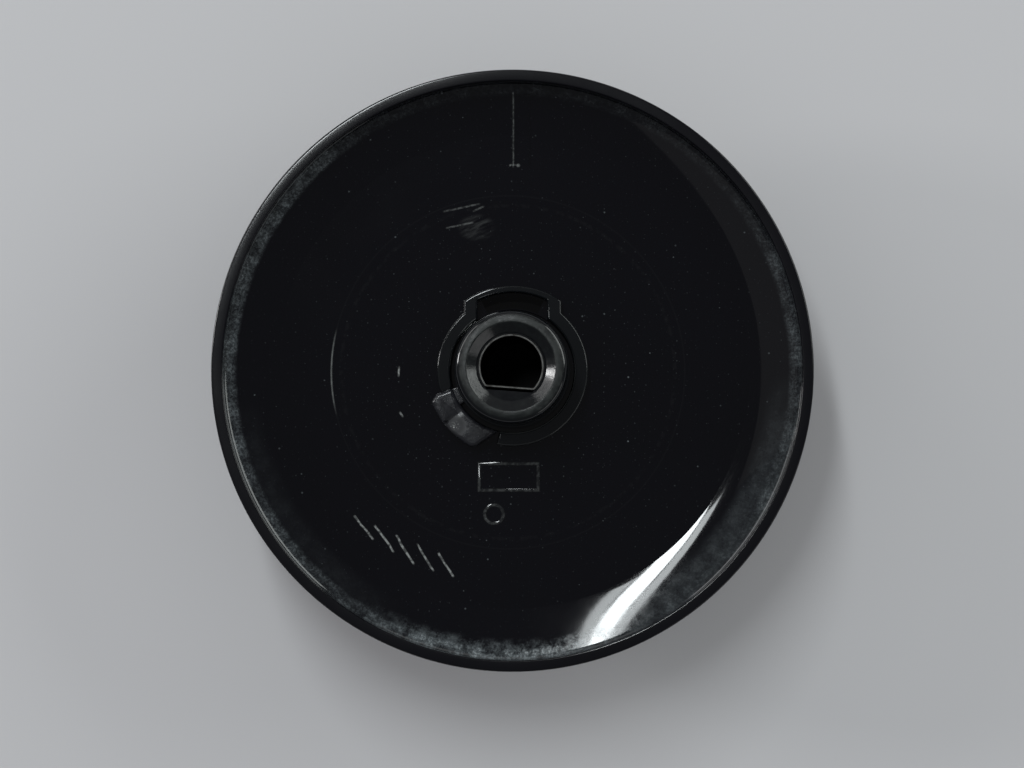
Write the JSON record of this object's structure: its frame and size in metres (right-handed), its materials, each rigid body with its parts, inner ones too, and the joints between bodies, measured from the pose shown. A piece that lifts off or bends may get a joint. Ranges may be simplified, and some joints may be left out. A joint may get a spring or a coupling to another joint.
{
  "type": "timer knob",
  "caption": "Round skirted timer knob in glossy black plastic with a fluted grip, a dished back and a tall hub with a steel clip for a D shaft.",
  "frame": {"origin": "centre of the grip's face, on the surface that the knob lies on", "axes": "+Z along the shaft axis from the grip's face to the hub's end, +Y towards the index mark on the skirt, +X to the right when looking at the hub side"},
  "size_m": [0.061, 0.061, 0.0252],
  "materials": {
    "black_plastic": "glossy black moulding with fine scratches, rub marks and a dusty film at the rim",
    "clip_steel": "dull thin sheet steel"
  },
  "bodies": {
    "root": {"knob_body": "black_plastic", "shaft_clip": "clip_steel"}
  },
  "joints": []
}
